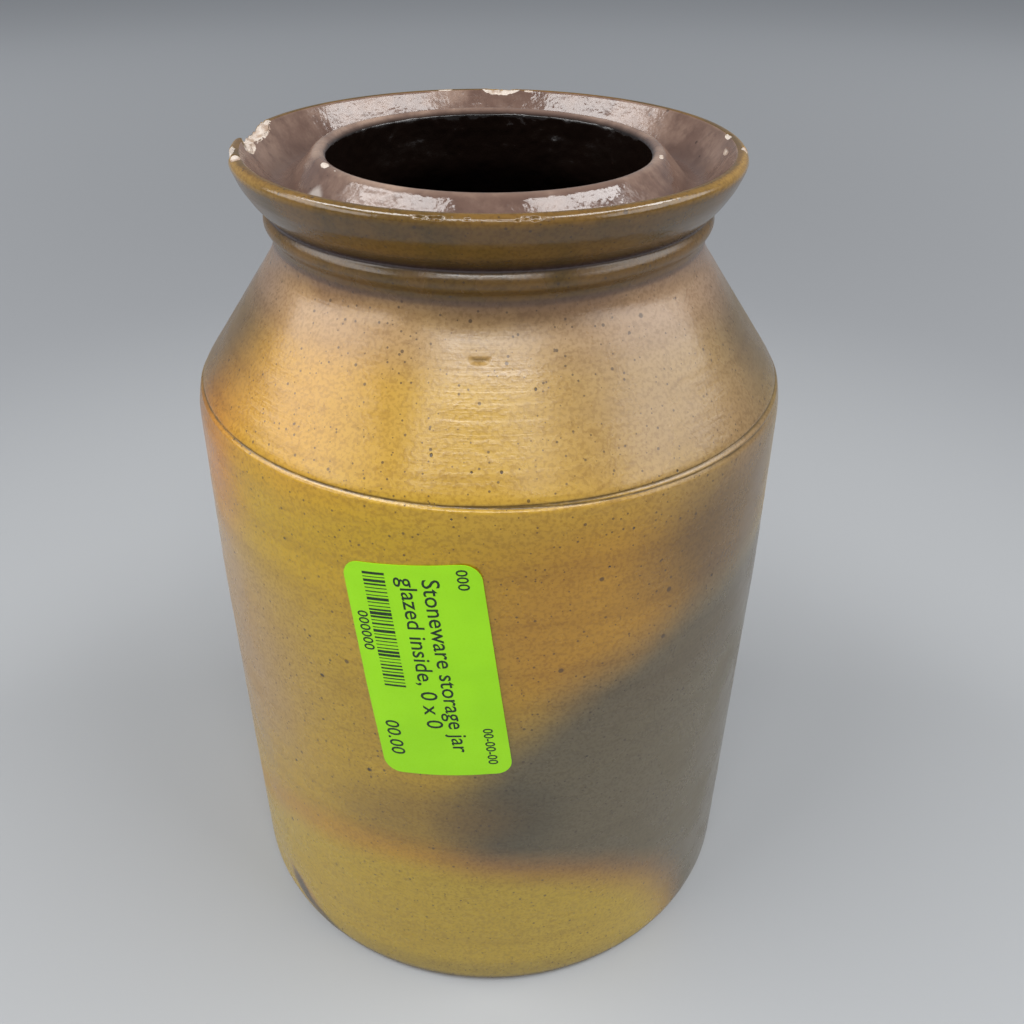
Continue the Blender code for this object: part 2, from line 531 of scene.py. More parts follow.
def turnedPiece(name, points, layers, tree, material):
    mesh = runNodes(name, profileMesh(name + "Strip", points, layers), tree, {
        "Segments": wheel["segments"],
        "Ring Depth": wheel["ringDepth"] * mm,
        "Ring Pitch": wheel["ringPitch"] * mm,
        "Wobble": wheel["wobble"] * mm,
        "Rim Lean": wheel["rimLean"],
        "Seed": float(wheel["seed"]),
        "Finish": material,
    })
    outwards(mesh)
    return mesh


# the line cut at the shoulder winds once and a bit round the jar: (bearing in degrees, height in mm)
scored = {
    "path": [
        (-12, 132.95), (20, 133.1), (55, 133.55), (180, 133.8), (290, 133.7), (348, 133.0), (378, 132.55),
        (424, 132.2),
    ],
    "width": 0.28,
    "depth": 0.32,
    "burr": 0.12,
    "fade": 7.0,
}

# broken places: bearing in degrees, radius, height and half sizes along, across and down in mm
chips = [
    (-99.0, 46.9, 179.0, 8.4, 4.4, 3.5),
    (-89.5, 45.4, 177.0, 3.4, 1.6, 2.0),
    (-79.0, 49.4, 177.6, 5.2, 2.2, 2.4),
    (-72.0, 47.8, 178.3, 2.4, 1.6, 1.0),
    (176.5, 46.6, 178.0, 4.4, 1.7, 1.5),
    (168.5, 46.2, 177.9, 1.6, 0.8, 0.6),
    (-168.0, 47.0, 178.1, 2.4, 0.9, 0.6),
    (81.5, 49.0, 177.9, 2.6, 1.7, 1.6),
    (88.0, 45.3, 175.8, 1.6, 0.7, 1.0),
    (94.0, 46.4, 177.5, 1.8, 0.8, 0.7),
    (32.5, 48.0, 178.0, 1.3, 0.8, 0.5),
    (-63.0, 32.9, 177.0, 1.8, 0.9, 0.8),
    (-55.0, 33.0, 177.0, 0.9, 0.5, 0.4),
    (75.0, 33.3, 176.9, 1.8, 0.9, 0.8),
    (60.0, 32.4, 177.0, 1.0, 0.6, 0.5),
    (-104.0, 33.4, 176.9, 1.5, 0.7, 0.6),
]
nicks = {
    "bearings": (-15, 12), "count": 16, "radius": 48.5, "height": 177.35, "size": (0.35, 1.0), "pale": 0.3,
    "seed": 4,
}
breaking = {
    "lean": 0.35, "deepest": 1.6, "raggedEdge": 0.16, "raggedFloor": 0.10, "layerGap": 0.035,
    "paleFrom": 0.10, "lowest": 170.0,
}
pit = {
    "bearing": -2.0, "height": 153.0, "radius": 46.6, "along": 1.5, "up": 0.32, "depth": 0.45, "bend": 0.12,
    "refine": (2.2, 2.0, 2.2),
}


def lineHeight(turn):
    bearings, heights = zip(*scored["path"])
    return np.interp(turn, bearings, heights)


def readPoints(mesh):
    places = np.empty(len(mesh.vertices) * 3)
    mesh.vertices.foreach_get("co", places)
    places = places.reshape(-1, 3) / mm
    return places, np.degrees(np.arctan2(places[:, 0], -places[:, 1])), np.hypot(places[:, 0], places[:, 1])


def writePoints(mesh, places):
    mesh.vertices.foreach_set("co", (places * mm).astype(np.float32).ravel())
    mesh.update()


def storePoints(mesh, name, values):
    layer = mesh.attributes.get(name) or mesh.attributes.new(name, "FLOAT", "POINT")
    layer.data.foreach_set("value", values.astype(np.float32))


def scoreLine(mesh):
    # a cut with a burr thrown up along its lower edge
    places, bearing, radius = readPoints(mesh)
    cut = np.zeros(len(places))
    burr = np.zeros(len(places))
    first, last = scored["path"][0][0], scored["path"][-1][0]
    for turn in (bearing, bearing + 360):
        fade = scored["fade"]
        ends = np.clip((turn - first) / fade, 0, 1) * np.clip((last - turn) / fade, 0, 1)
        away = (places[:, 2] - lineHeight(turn)) / scored["width"]
        cut = np.maximum(cut, ends * np.exp(-away ** 2))
        burr = np.maximum(burr, ends * np.exp(-((away + 2.6) / 1.5) ** 2))
    near = (np.abs(places[:, 2] - 133.0) < 4.0) & (radius > jarShape["shoulderRadius"] - 4.0)
    cut *= near
    push = burr * near * scored["burr"] - cut * scored["depth"]
    places[:, :2] *= (1 + push / np.maximum(radius, 1.0))[:, None]
    writePoints(mesh, places)
    storePoints(mesh, "cut", cut - 0.8 * burr * near * (1 - cut))


def dentPit(mesh):
    places, bearing, radius = readPoints(mesh)
    along = np.radians(bearing - pit["bearing"]) * radius / pit["along"]
    up = (places[:, 2] - pit["height"] - pit["bend"] * along ** 2) / pit["up"]
    dent = np.exp(-(along ** 4 + up ** 2)) * (radius > 40.0)
    places[:, :2] *= (1 - dent * pit["depth"] / np.maximum(radius, 1.0))[:, None]
    writePoints(mesh, places)
    cuts = np.empty(len(places), np.float32)
    mesh.attributes["cut"].data.foreach_get("value", cuts)
    storePoints(mesh, "cut", np.maximum(cuts, 0.8 * dent))


def allChips():
    random.seed(nicks["seed"])
    # the pale share of each place comes last, and the nicks are mostly glazed over
    listed = [chip + (1.0,) for chip in chips]
    for _ in range(nicks["count"]):
        size = random.uniform(*nicks["size"])
        bearing = random.uniform(*nicks["bearings"])
        height = nicks["height"] + random.uniform(-0.5, 0.4)
        radius = nicks["radius"] + random.uniform(-0.2, 0.4)
        listed.append((bearing, radius, height, size, size * 0.6, size * 0.5, nicks["pale"]))
    return listed


def chipSpace(places, chip, swell=1.0):
    # each point in the chip's own frame, where the break is a ball of radius one
    bearing, radius, height, along, across, down, _ = chip
    turn = math.radians(bearing)
    out = np.array([math.sin(turn), -math.cos(turn), 0.0])
    side = np.array([math.cos(turn), math.sin(turn), 0.0])
    offset = places - (out * radius + np.array([0.0, 0.0, height]))
    scaled = np.column_stack((offset @ side / along, offset @ out / across, offset[:, 2] / down)) / swell
    lean = breaking["lean"]
    into = np.array([0.0, -lean, -1.0]) / math.hypot(lean, 1.0)
    return scaled, into / np.array([along, across, down]) / swell


def refineChips(mesh, listed, rounds):
    # finer faces where the rim is broken, so that the breaks have crisp edges
    bm = bmesh.new()
    bm.from_mesh(mesh)
    for _ in range(rounds):
        bm.faces.ensure_lookup_table()
        centres = np.array([face.calc_center_median() for face in bm.faces]) / mm
        chosen = np.zeros(len(centres), bool)
        for chip in listed:
            scaled, _ = chipSpace(centres, chip, 1.25)
            chosen |= np.linalg.norm(scaled, axis=1) < 1.0 + 0.3 / min(chip[3:6])
        edges = {edge for face, wanted in zip(bm.faces, chosen) if wanted for edge in face.edges}
        bmesh.ops.subdivide_edges(bm, edges=list(edges), cuts=1, use_grid_fill=True)
    bm.to_mesh(mesh)
    bm.free()
    mesh.shade_smooth()


def breakChips(mesh, listed):
    # push the surface down to each break, and the layers below it a little further
    places = readPoints(mesh)[0]
    layers = np.empty(len(places), np.float32)
    mesh.attributes["layer"].data.foreach_get("value", layers)
    bare = np.zeros(len(places))
    rough = np.array([noise.noise(Vector(place) * 0.9) + 0.5 * noise.noise(Vector(place) * 2.3)
                      for place in places])
    for chip in listed:
        scaled, into = chipSpace(places, chip)
        reach = np.linalg.norm(scaled, axis=1) * (1 + breaking["raggedEdge"] * rough)
        inside = (reach < 1.0) & (places[:, 2] > breaking["lowest"])
        a = into @ into
        b = scaled @ into
        c = reach ** 2 - 1
        travel = (-b + np.sqrt(np.maximum(b * b - a * c, 0.0))) / a
        travel = np.where(inside, np.minimum(travel, chip[5] * breaking["deepest"]), 0.0)
        turn, lean = math.radians(chip[0]), breaking["lean"]
        heading = np.array([-lean * math.sin(turn), lean * math.cos(turn), -1.0]) / math.hypot(lean, 1.0)
        deeper = np.where(inside, layers * breaking["layerGap"], 0.0)
        places = places + (travel * (1 + breaking["raggedFloor"] * rough) + deeper)[:, None] * heading
        bare = np.maximum(bare, np.clip(travel / breaking["paleFrom"], 0, 1) * chip[6])
    writePoints(mesh, places)
    storePoints(mesh, "bare", bare)


# shared effects, each a node group that gives a place, a mask, a colour or a height

def placeGroup():
    # where a point lies on the jar: its bearing in degrees, its height and its radius in mm
    tree, entry, result = newGroup("jarPlace", [("Vector", "Vector", None)], [
        ("Bearing", "Float"), ("Height", "Float"), ("Radius", "Float")])
    x, y, z = splitXyz(tree, entry["Vector"])
    turn = calc(tree, "ARCTAN2", x, times(tree, y, -1.0))
    plug(tree, times(tree, turn, 180 / math.pi), result["Bearing"])
    plug(tree, calc(tree, "DIVIDE", z, mm), result["Height"])
    flat = calc(tree, "SQRT", plus(tree, times(tree, x, x), times(tree, y, y)))
    plug(tree, calc(tree, "DIVIDE", flat, mm), result["Radius"])
    return tree


def ovalPatchGroup():
    # an oval patch with a soft, wandering edge, used for stains, specks, a chalk smear and painted shade
    titles = ["Bearing", "Height", "Wander", "Centre", "Level", "Half Width", "Half Height", "Slant",
              "Softness"]
    inputs = [(title, "Float", 0.0) for title in titles]
    tree, entry, result = newGroup("ovalPatch", inputs, [("Mask", "Float")])
    across = calc(tree, "WRAP", minus(tree, entry["Bearing"], entry["Centre"]), 180.0, -180.0)
    up = minus(tree, entry["Height"], entry["Level"])
    up = minus(tree, up, times(tree, across, entry["Slant"]))
    a = calc(tree, "DIVIDE", across, entry["Half Width"])
    b = calc(tree, "DIVIDE", up, entry["Half Height"])
    reach = calc(tree, "SQRT", plus(tree, times(tree, a, a), times(tree, b, b)))
    reach = plus(tree, reach, entry["Wander"])
    low = minus(tree, 1.0, entry["Softness"])
    high = plus(tree, 1.0, entry["Softness"])
    plug(tree, ramp(tree, reach, low, high, 1.0, 0.0), result["Mask"])
    return tree


def speckGroup():
    # iron specks of mixed sizes, one at most in each cell
    tree, entry, result = newGroup("ironSpecks", [
        ("Vector", "Vector", None), ("Scale", "Float", 160.0),
        ("Size", "Float", 0.08)], [("Mask", "Float")])
    cell = addNode(tree, "ShaderNodeTexVoronoi", {
        "Vector": entry["Vector"], "Scale": entry["Scale"]}, feature="F1")
    luck = addNode(tree, "ShaderNodeSeparateColor", [cell.outputs["Color"]])
    size = times(tree, calc(tree, "POWER", luck.outputs[0], 3.0), entry["Size"])
    gap = minus(tree, cell.outputs["Distance"], size)
    plug(tree, ramp(tree, gap, -0.015, 0.02, 1.0, 0.0), result["Mask"])
    return tree


def throwingGroup():
    # fine level lines that fingers leave in clay on the wheel
    tree, entry, result = newGroup("throwingLines", [("Vector", "Vector", None)], [
        ("Fine", "Float"), ("Broad", "Float")])
    plug(tree, grain(tree, entry["Vector"], 1.0, 3.0, 0.6, (14.0, 14.0, 1500.0)), result["Fine"])
    plug(tree, grain(tree, entry["Vector"], 1.0, 2.0, 0.5, (9.0, 9.0, 330.0)), result["Broad"])
    return tree


bareClay = {"pale": shade(196, 184, 172), "dark": shade(150, 126, 106), "threshold": 0.35, "blur": 0.25}


def bareGroup():
    # broken clay: pale, grainy and a little dirty, with its edge eaten by fine noise
    tree, entry, result = newGroup("bareClay", [
        ("Vector", "Vector", None), ("Bare", "Float", 0.0)], [
        ("Mask", "Float"), ("Colour", "Color"), ("Grit", "Float")])
    grit = grain(tree, entry["Vector"], 1400.0, 4.0, 0.7)
    dirt = grain(tree, entry["Vector"], 420.0, 3.0, 0.6)
    tone = blendColour(tree, ramp(tree, dirt, 0.42, 0.68), bareClay["pale"], bareClay["dark"])
    plug(tree, tone, result["Colour"])
    edge = plus(tree, entry["Bare"], times(tree, minus(tree, grit, 0.5), 0.5))
    threshold = bareClay["threshold"]
    plug(tree, ramp(tree, edge, threshold, threshold + bareClay["blur"]), result["Mask"])
    plug(tree, grit, result["Grit"])
    return tree


jarPlace = placeGroup()
ovalPatch = ovalPatchGroup()
ironSpecks = speckGroup()
throwingLines = throwingGroup()
brokenClay = bareGroup()


def readAttribute(tree, name):
    return addNode(tree, "ShaderNodeAttribute", attribute_name=name).outputs["Fac"]


def ovalPatchMask(tree, bearing, height, wander, centre, level, wide, tall, slant, soft):
    return useGroup(tree, ovalPatch, {
        "Bearing": bearing, "Height": height, "Wander": wander, "Centre": centre, "Level": level,
        "Half Width": wide, "Half Height": tall, "Slant": slant, "Softness": soft})[0]


def nearLevel(tree, height, level, reach=(0.2, 0.9)):
    # one at the level, and nothing from the end of the reach outwards
    return ramp(tree, calc(tree, "ABSOLUTE", minus(tree, height, level)), *reach, 1.0, 0.0)


saltGlaze = {
    "baseLight": shade(182, 148, 42),
    "base": shade(172, 138, 34),
    # stains, and a few patches of painted shade, as (bearing, height, half width in degrees, half height in
    # mm, slant, softness, wander, strength, and the colour's red, green and blue)
    "stainsAndShade": [
        (-72, 85, 30, 36, 0, 0.55, 0.5, 0.85, 168, 136, 98),
        (-30, 124, 40, 15, 0, 0.6, 0.4, 0.85, 192, 154, 14),
        (20, 108, 26, 24, 0, 0.6, 0.5, 0.8, 172, 122, 36),
        (-64, 128, 14, 16, 0, 0.6, 0.4, 0.8, 192, 120, 24),
        (50, 118, 20, 19, 0.1, 0.55, 0.5, 0.9, 96, 72, 42),
        (150, 70, 52, 50, 0.2, 0.5, 0.6, 0.7, 160, 120, 66),
        (-130, 50, 36, 60, -0.3, 0.5, 0.6, 0.7, 186, 148, 44),
        (62, 45, 70, 61, 0, 0.12, 0.16, 0.96, 93, 85, 67),
        (128, 34, 24, 30, 0.4, 0.45, 0.9, 0.85, 98, 88, 68),
        (112, 96, 17, 17, 0.5, 0.55, 0.9, 0.75, 104, 88, 62),
        (146, 66, 16, 9, 0.3, 0.6, 1.1, 0.6, 112, 92, 60),
        (58, 92, 30, 8, 0.2, 0.6, 0.5, 0.5, 88, 74, 52),
        (2, 57, 11, 10, 0, 0.6, 0.5, 0.7, 66, 60, 44),
        (-14, 55, 18, 9, 0.1, 0.6, 0.6, 0.6, 120, 92, 44),
        (-18, 0, 66, 47, 0, 0.12, 0.12, 0.6, 176, 118, 30),
        (-18, 0, 62, 41, 0, 0.12, 0.12, 0.95, 179, 150, 40),
        (-5, 3, 34, 4, 0, 0.7, 0.3, 0.45, 128, 112, 62),
        (-48.5, 6.2, 5.5, 3.2, -0.45, 0.6, 1.0, 0.5, 150, 96, 66),
        (-49.5, 6.4, 3.4, 2.3, -0.6, 0.6, 1.3, 0.88, 60, 54, 46),
        (-43, 3.0, 9, 1.5, -0.3, 0.6, 1.0, 0.8, 70, 60, 44),
        # painted shade: the thin dark band along the bottom of the foot, where the jar stands on the floor
        (-8, 0.3, 84, 1.4, 0, 0.6, 0.8, 0.7, 84, 70, 40),
    ],
    "shoulder": [
        (-40, 147, 26, 16, 0, 0.6, 0.4, 0.7, 200, 146, 56),
        (0, 144, 26, 14, 0, 0.5, 0.4, 0.8, 182, 144, 60),
        (46, 148, 34, 18, 0, 0.5, 0.4, 0.8, 148, 120, 86),
        # painted shade: the two dark patches at bearings -84 and 88 darken the sides of the shoulder, which
        # turn away from the lamps
        (-84, 152, 27, 25, 0, 0.5, 0.4, 0.92, 100, 80, 56),
        (88, 148, 28, 24, 0, 0.5, 0.4, 0.85, 92, 78, 60),
        (172, 147, 52, 15, 0, 0.5, 0.5, 0.7, 170, 134, 74),
        (0, 161, 400, 9, 0, 0.5, 0.5, 0.55, 160, 132, 112),
    ],
    # lone specks as (bearing, height, size in mm)
    "specks": [
        (-34, 98, 0.5), (-32, 89, 0.8), (-23.5, 67, 0.9), (-43.5, 57, 0.6), (18, 73, 0.4), (20, 119, 0.4),
        (44, 107, 0.5), (33, 134, 0.4), (-37.5, 119, 0.5), (-10, 140, 0.45), (-3, 138, 0.35), (2, 138, 0.45),
        (9, 149, 0.45), (-6, 131, 0.3), (24, 126, 0.4), (118, 92, 0.8), (151, 61, 0.6), (-142, 108, 0.7),
        (-120, 75, 0.5), (176, 40, 0.6), (-168, 121, 0.5),
    ],
    "neck": shade(110, 82, 62),
    "rim": shade(88, 67, 28),
    "rimLight": shade(110, 80, 32),
    # painted shade on the lower flange
    "flangeFootShade": shade(60, 44, 24),
    "crease": shade(58, 42, 46),
    "lip": shade(176, 138, 66),
    "iron": shade(58, 44, 34),
    "burr": shade(214, 182, 84),
    "cut": shade(92, 72, 34),
    "foot": shade(196, 170, 124),
    "loneSpeck": shade(46, 36, 30),
    # these three darken the colour under them
    "streak": shade(236, 232, 226),
    "mottle": shade(205, 192, 170),
    "peel": shade(212, 204, 190),
    # small specks as (cells to a metre, size in cells)
    "peppering": [(150.0, 0.085), (330.0, 0.13), (620.0, 0.19), (1000.0, 0.24)],
    "roughness": (0.2, 0.34),
    "rimSheen": 0.1,
    # waves to a metre, and how high each kind of relief stands in mm
    "grain": {"drift": 30.0, "cloud": 75.0, "mottle": (260.0, 260.0, 900.0), "pebble": 1500.0},
    "relief": {"fine": 0.030, "pebble": 0.028, "mottle": 0.03, "broad": 0.032, "speck": 0.12, "grit": 0.15},
}


def addStainsAndShade(tree, colour, at, drift, stainsAndShade):
    for centre, level, wide, tall, slant, soft, ragged, strength, *tint in stainsAndShade:
        mask = ovalPatchMask(tree, at["Bearing"], at["Height"], times(tree, drift, ragged), centre, level,
                         wide, tall, slant, soft)
        colour = blendColour(tree, times(tree, mask, strength), colour, shade(*tint))
    return colour


def addRim(tree, colour, at, drift, cloud):
    # the dull neck, the dark rim with a shadow in each crease and painted shade down the lower flange, and
    # the worn golden lip
    s = saltGlaze
    height, radius = at["Height"], at["Radius"]
    neck = times(tree, ramp(tree, plus(tree, height, times(tree, drift, 14.0)), 155.0, 162.0),
                 ramp(tree, height, 132.0, 136.0))
    colour = blendColour(tree, times(tree, neck, 0.85), colour, s["neck"])
    rimTone = blendColour(tree, ramp(tree, cloud, 0.35, 0.65), s["rim"], s["rimLight"])
    # painted shade: the lower flange darkens down towards the crease at its foot
    under = times(tree, ramp(tree, height, 171.0, 167.4, 0.0, 0.85), ramp(tree, height, 166.4, 167.2))
    rimTone = blendColour(tree, under, rimTone, s["flangeFootShade"])
    worn = plus(tree, radius, times(tree, drift, 1.2))
    lip = times(tree, ramp(tree, worn, 47.3, 48.3), ramp(tree, height, 175.2, 176.8))
    golden = ramp(tree, calc(tree, "ABSOLUTE", at["Bearing"]), 30.0, 70.0, 0.05, 0.6)
    return paintOver(
        tree, colour,
        (ramp(tree, height, 160.6, 162.6), rimTone),
        (times(tree, nearLevel(tree, height, 167.4), 0.9), s["crease"]),
        (times(tree, nearLevel(tree, height, 161.4), 0.4), s["crease"]),
        (times(tree, lip, golden), s["lip"]))


def loneSpecks(tree, at, pebble):
    dots = None
    wander = times(tree, minus(tree, pebble, 0.5), 1.2)
    for bearing, level, size in saltGlaze["specks"]:
        wide = size / jarRadius * 180 / math.pi
        dot = ovalPatchMask(tree, at["Bearing"], at["Height"], wander, bearing, level, wide * 0.6, size * 0.5,
                        0.0, 0.35)
        dots = dot if dots is None else calc(tree, "MAXIMUM", dots, dot)
    return times(tree, dots, ramp(tree, at["Radius"], 40.0, 41.0))


def saltGlazeMaterial():
    s = saltGlaze
    material, tree, shader, where = newMaterial("saltGlaze")
    at = useGroup(tree, jarPlace, {"Vector": where})
    height = at["Height"]
    lines = useGroup(tree, throwingLines, {"Vector": where})
    size = s["grain"]
    drift = minus(tree, grain(tree, where, size["drift"], 4.0, 0.6), 0.5)
    cloud = grain(tree, where, size["cloud"], 4.0, 0.6)
    mottle = grain(tree, where, 1.0, 3.0, 0.6, size["mottle"])
    pebble = grain(tree, where, size["pebble"])

    colour = blendColour(tree, ramp(tree, cloud, 0.3, 0.7), s["base"], s["baseLight"])
    colour = addStainsAndShade(tree, colour, at, drift, s["stainsAndShade"] + s["shoulder"])
    colour = addRim(tree, colour, at, drift, cloud)
    colour = darken(tree, ramp(tree, lines["Broad"], 0.5, 0.72, 0.0, 0.55), colour, s["streak"])
    colour = darken(tree, ramp(tree, mottle, 0.5, 0.78, 0.0, 0.32), colour, s["mottle"])
    colour = darken(tree, ramp(tree, pebble, 0.42, 0.66, 0.0, 0.6), colour, s["peel"])
    for scale, width in s["peppering"]:
        specks = useGroup(tree, ironSpecks, {"Vector": where, "Scale": scale, "Size": width})[0]
        colour = blendColour(tree, times(tree, specks, 0.7), colour, s["iron"])
    dots = loneSpecks(tree, at, pebble)
    cut = readAttribute(tree, "cut")
    foot = ramp(tree, plus(tree, height, times(tree, drift, 1.5)), 0.25, 0.7, 1.0, 0.0)
    broken = useGroup(tree, brokenClay, {"Vector": where, "Bare": readAttribute(tree, "bare")})
    colour = paintOver(
        tree, colour,
        (times(tree, dots, 0.9), s["loneSpeck"]),
        (ramp(tree, cut, -0.15, -0.7, 0.0, 0.5), s["burr"]),
        (times(tree, ramp(tree, cut, 0.25, 0.9), ramp(tree, mottle, 0.35, 0.6, 0.45, 0.95)), s["cut"]),
        (foot, s["foot"]),
        (broken["Mask"], broken["Colour"]))
    plug(tree, colour, shader.inputs["Base Color"])
    shader.inputs["IOR"].default_value = 1.6

    matt = calc(tree, "MAXIMUM", broken["Mask"], foot)
    sheen = ramp(tree, cloud, 0.3, 0.75, *s["roughness"])
    sheen = minus(tree, sheen, ramp(tree, height, 164.0, 176.0, 0.0, s["rimSheen"]))
    plug(tree, calc(tree, "ADD", sheen, times(tree, matt, 0.5), clamp=True), shader.inputs["Roughness"])
    high = s["relief"]
    relief = plus(tree, times(tree, lines["Fine"], high["fine"]), times(tree, pebble, high["pebble"]),
                  times(tree, mottle, high["mottle"]), times(tree, lines["Broad"], high["broad"]))
    relief = minus(tree, relief, times(tree, dots, high["speck"]))
    relief = plus(tree, relief, times(tree, broken["Grit"], matt, high["grit"]))
    raiseSurface(tree, shader, relief)
    return material


darkSlip = {
    "rim": shade(100, 78, 68),
    "rimPale": shade(134, 110, 96),
    "groove": shade(84, 64, 56),
    # painted shade: near black for the depths of the jar
    "inside": shade(18, 11, 8),
    "worn": shade(158, 134, 116),
    "speck": shade(40, 28, 24),
    "lip": shade(150, 116, 72),
    "chalk": shade(190, 180, 172),
    # a smear of chalk as (bearing, radius, half width in degrees, half depth in mm)
    "smear": (-56.5, 37.0, 3.2, 1.4),
    "roughness": (0.1, 0.24),
    "grain": {"cloud": 60.0, "mottle": 420.0, "dimples": 210.0, "runs": 150.0},
    "relief": {"broad": 0.05, "mottle": 0.045, "fine": 0.012, "dimples": 0.16, "runs": 1.4, "grit": 0.15},
}


def darkSlipMaterial():
    s = darkSlip
    material, tree, shader, where = newMaterial("darkSlip")
    at = useGroup(tree, jarPlace, {"Vector": where})
    height, radius = at["Height"], at["Radius"]
    lines = useGroup(tree, throwingLines, {"Vector": where})
    size = s["grain"]
    cloud = grain(tree, where, size["cloud"], 5.0, 0.65)
    mottle = grain(tree, where, size["mottle"], 3.0, 0.6)
    dimples = grain(tree, where, size["dimples"], 3.0, 0.65)
    runs = grain(tree, where, size["runs"])

    crest = times(tree, ramp(tree, height, 175.9, 176.8), ramp(tree, radius, 34.5, 33.2),
                  ramp(tree, cloud, 0.4, 0.7, 0.15, 0.75))
    # painted shade: the wall under the ring and everything below the neck are darkened to near black
    well = times(tree, ramp(tree, height, 176.6, 175.4), ramp(tree, radius, 32.4, 31.5))
    deep = calc(tree, "MAXIMUM", well, ramp(tree, height, 167.0, 165.0))
    specks = useGroup(tree, ironSpecks, {"Vector": where, "Scale": 260.0, "Size": 0.12})[0]
    lip = times(tree, ramp(tree, radius, 46.3, 47.4), ramp(tree, cloud, 0.35, 0.6, 0.2, 0.8),
                ramp(tree, height, 173.0, 175.0))
    smear = ovalPatchMask(tree, at["Bearing"], radius, minus(tree, mottle, 0.5), *s["smear"], 0.0, 0.4)
    broken = useGroup(tree, brokenClay, {"Vector": where, "Bare": readAttribute(tree, "bare")})
    colour = paintOver(
        tree, s["rim"],
        (ramp(tree, cloud, 0.4, 0.66), s["rimPale"]),
        (ramp(tree, mottle, 0.45, 0.75, 0.0, 0.5), s["groove"]),
        (times(tree, nearLevel(tree, radius, 40.0, (0.5, 4.5)), 0.7), s["groove"]),
        (crest, s["worn"]),
        (deep, s["inside"]),
        (times(tree, specks, 0.6), s["speck"]),
        (lip, s["lip"]),
        (times(tree, smear, ramp(tree, height, 170.0, 171.0, 0.0, 0.7)), s["chalk"]),
        (broken["Mask"], broken["Colour"]))
    plug(tree, colour, shader.inputs["Base Color"])

    gloss = ramp(tree, cloud, 0.35, 0.7, *s["roughness"])
    plug(tree, calc(tree, "ADD", gloss, times(tree, broken["Mask"], 0.6), clamp=True),
         shader.inputs["Roughness"])
    high = s["relief"]
    raiseSurface(tree, shader, plus(
        tree, times(tree, lines["Broad"], high["broad"]), times(tree, mottle, high["mottle"]),
        times(tree, lines["Fine"], high["fine"]), times(tree, dimples, high["dimples"]),
        times(tree, runs, deep, high["runs"]), times(tree, broken["Grit"], broken["Mask"], high["grit"])))
    return material


clayPoints, clayLayers, slipPoints, slipLayers = makeProfiles()
print("profiles", len(clayPoints), "and", len(slipPoints), "points")
potterWheel = wheelTree()
clayMesh = turnedPiece("jar", clayPoints, clayLayers, potterWheel, saltGlazeMaterial())
slipMesh = turnedPiece("slip_coat", slipPoints, slipLayers, potterWheel, darkSlipMaterial())
print("turned", len(clayMesh.polygons), "and", len(slipMesh.polygons), "faces")
brokenPlaces = allChips()
pitPlace = (pit["bearing"], pit["radius"], pit["height"], *pit["refine"], 0.0)
refineChips(clayMesh, brokenPlaces + [pitPlace], 2)
refineChips(slipMesh, brokenPlaces, 2)
scoreLine(clayMesh)
dentPit(clayMesh)
breakChips(clayMesh, brokenPlaces)
breakChips(slipMesh, brokenPlaces)
print("chipped", len(clayMesh.polygons), "and", len(slipMesh.polygons), "faces")
jar = addObject("jar", clayMesh)
slip = addObject("slip_coat", slipMesh)
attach(jar, "root")
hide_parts("jar_body")
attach(slip, "root")
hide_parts("slip_lining")


# the label is laid out lying down, X along it and Y up it in mm, and is stuck on with its start at the top
label = {
    "bearing": -10.55,
    "height": (labelBox[0][2] + labelBox[1][2]) / 2 / mm,
    "tilt": 6.9,
    "long": 50.8,
    "wide": 25.9,
    "corner": 3.4,
    "gap": 0.06,
    "paper": 0.12,
    "lift": 0.35,
    "cornerLift": 0.12,
    "ink": 0.03,
    "bold": 0.02,
    "letterShare": 0.7,
    "glow": 0.06,
    "colour": shade(150, 218, 6),
    "colourLight": shade(156, 224, 12),
    "colourDark": shade(138, 206, 4),
    "inkColour": shade(18, 44, 22),
    "inkThin": shade(60, 104, 34),
}

# printed words as (text, start X, baseline Y, letter height in mm)
printed = [
    ("000", 0.9, 21.4, 2.1),
    ("00-00-00", 38.2, 21.4, 1.9),
    ("Stoneware storage jar", 2.8, 15.0, 3.25),
    ("glazed inside, 0 x 0", 2.6, 10.8, 3.25),
    ("000000", 10.6, 1.3, 2.1),
    ("00.00", 36.6, 2.2, 2.9),
]
bars = {
    "start": 2.1, "length": 26.2, "low": 3.9, "high": 8.2, "count": 33, "narrowest": 0.2, "spread": 0.72,
    "seed": 12,
}


def wallFinder(mesh):
    bm = bmesh.new()
    bm.from_mesh(mesh)
    tree = BVHTree.FromBMesh(bm)
    bm.free()
    return tree


def onLabel(x, y, lift, wall):
    # a point of the flat layout, carried to the jar's wall and held off it by the lift
    across = y - label["wide"] / 2
    up = label["long"] / 2 - x
    tilt = math.radians(label["tilt"])
    side = across * math.cos(tilt) - up * math.sin(tilt)
    height = label["height"] + across * math.sin(tilt) + up * math.cos(tilt)
    turn = math.radians(label["bearing"]) + side / jarRadius
    out = Vector((math.sin(turn), -math.cos(turn), 0.0))
    start = out * (jarRadius + 8) * mm + Vector((0.0, 0.0, height * mm))
    hit = wall.ray_cast(start, -out)[0]
    radius = math.hypot(hit.x, hit.y) / mm
    curl = max(0.0, 1 - math.hypot(x / label["long"] - 1, y / label["wide"]) / 0.22) * label["cornerLift"]
    curl += max(0.0, y / label["wide"] - 0.82) / 0.18 * label["lift"]
    return (out * (radius + lift + curl) + Vector((0.0, 0.0, height))) * mm


